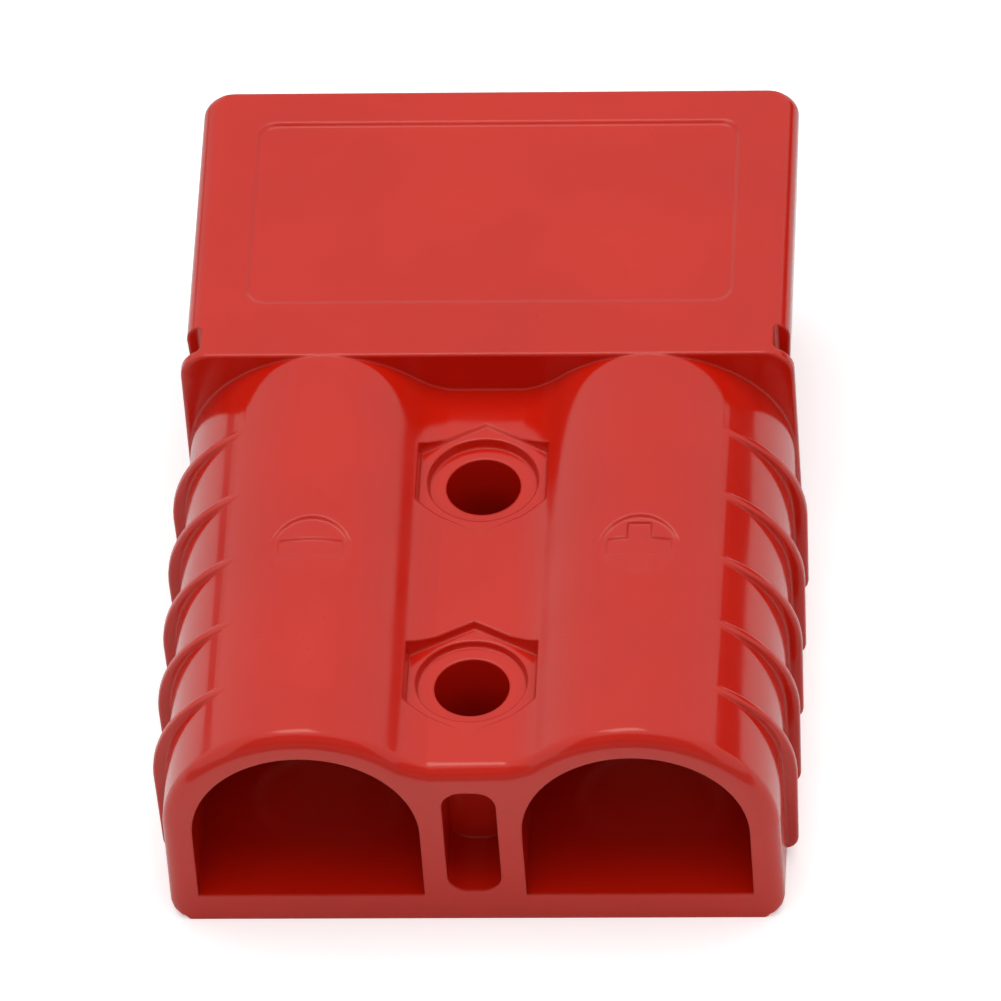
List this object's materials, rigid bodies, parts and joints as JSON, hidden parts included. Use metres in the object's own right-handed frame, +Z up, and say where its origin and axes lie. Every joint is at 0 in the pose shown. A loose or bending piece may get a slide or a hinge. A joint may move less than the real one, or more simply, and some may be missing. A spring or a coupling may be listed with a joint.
{
  "type": "genderless power connector",
  "caption": "Moulded genderless power connector: arched wire barrels, a half-height hood with sprung flat contacts, bolt seats and grip ribs.",
  "frame": {"origin": "middle of the flat base", "axes": "+X across the pair of contacts, +Y from the wire entries to the mating end, +Z up from the base"},
  "size_m": [0.0582, 0.08, 0.0246],
  "materials": {
    "housing": "red moulded polycarbonate, semi-gloss",
    "contact": "silver-plated copper, satin",
    "spring": "stainless spring strip"
  },
  "bodies": {
    "root": {"housing": "housing", "contact_left": "contact", "contact_right": "contact", "spring_left": "spring", "spring_right": "spring"}
  },
  "joints": []
}
